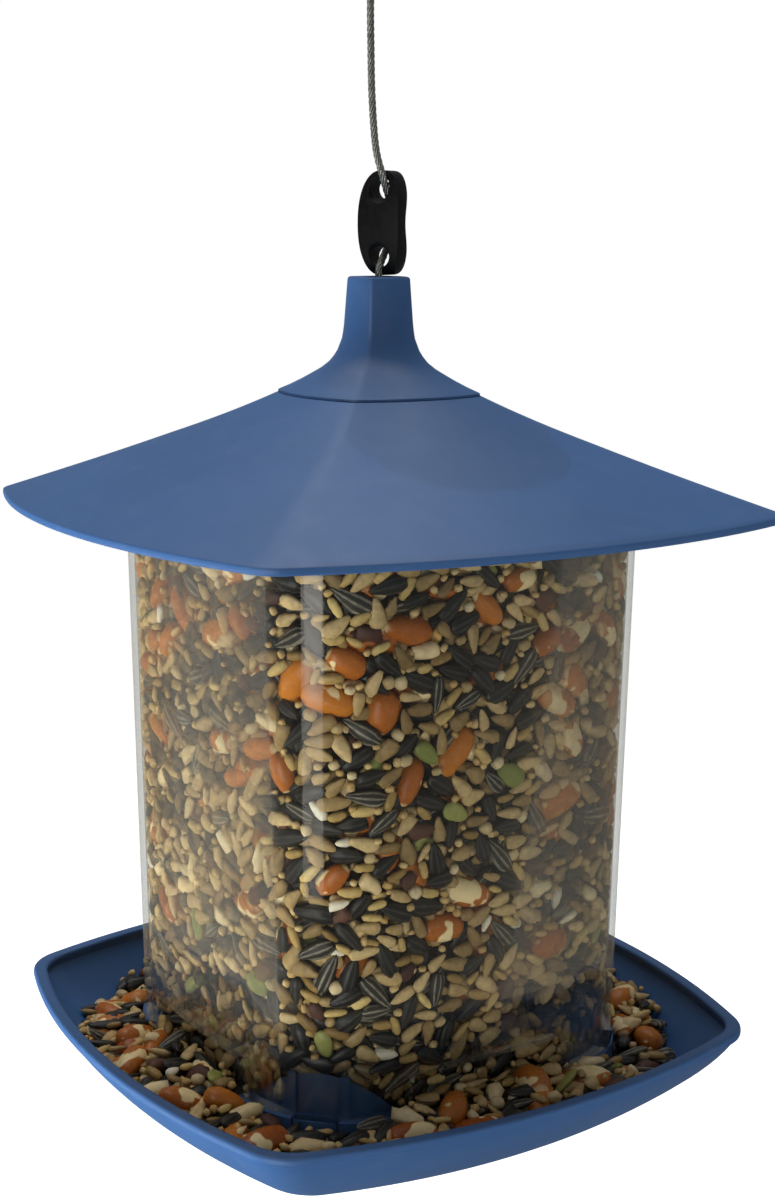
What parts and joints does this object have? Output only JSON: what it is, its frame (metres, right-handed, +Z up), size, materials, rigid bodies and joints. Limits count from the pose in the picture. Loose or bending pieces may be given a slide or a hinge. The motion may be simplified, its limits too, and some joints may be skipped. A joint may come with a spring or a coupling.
{
  "type": "hanging bird feeder",
  "caption": "Hanging hopper bird feeder with a clear square seed hopper, a bowed blue roof and tray, and a wire rope with a sliding stopper.",
  "frame": {"origin": "inside top of the wire rope's hanging loop, where a hook carries the feeder", "axes": "+Z up along the wire rope; +X and +Y through the middles of two neighbouring sides of the tray"},
  "size_m": [0.22, 0.22, 0.4514],
  "materials": {
    "navy_plastic": "satin, fine-grained moulded polypropylene",
    "clear_plastic": "clear, slightly hazy",
    "black_plastic": "satin",
    "wire_rope": "stranded wire",
    "crimp_aluminium": "pressed",
    "mixed_seed": "dry loose seed"
  },
  "bodies": {
    "hanger_and_tray": {"anchor_washer": "crimp_aluminium", "cable_stop": "crimp_aluminium", "cable_held": "wire_rope", "cable_free": "wire_rope", "top_ferrule": "crimp_aluminium", "hanging_loop": "wire_rope", "tray": "navy_plastic", "seed_cone": "navy_plastic", "tray_seed": "mixed_seed"},
    "hopper": {"hopper": "clear_plastic", "hopper_seed": "mixed_seed"},
    "roof": {"roof": "navy_plastic", "roof_collar": "navy_plastic", "roof_cap": "navy_plastic"},
    "stopper": {"cable_slider": "black_plastic"}
  },
  "joints": [
    {"name": "hopper_unclip", "type": "slide", "parent": "hanger_and_tray", "child": "hopper", "axis": [0, 0, 1], "range_m": [0, 0.015], "deforming": ["cable_free"]},
    {"name": "roof_lift", "type": "slide", "parent": "hopper", "child": "roof", "axis": [0, 0, 1], "range_m": [0, 0.06], "deforming": ["cable_free"]},
    {"name": "stopper_slide", "type": "slide", "parent": "roof", "child": "stopper", "axis": [0, 0, 1], "range_m": [0, 0.02], "deforming": ["cable_free"]}
  ]
}
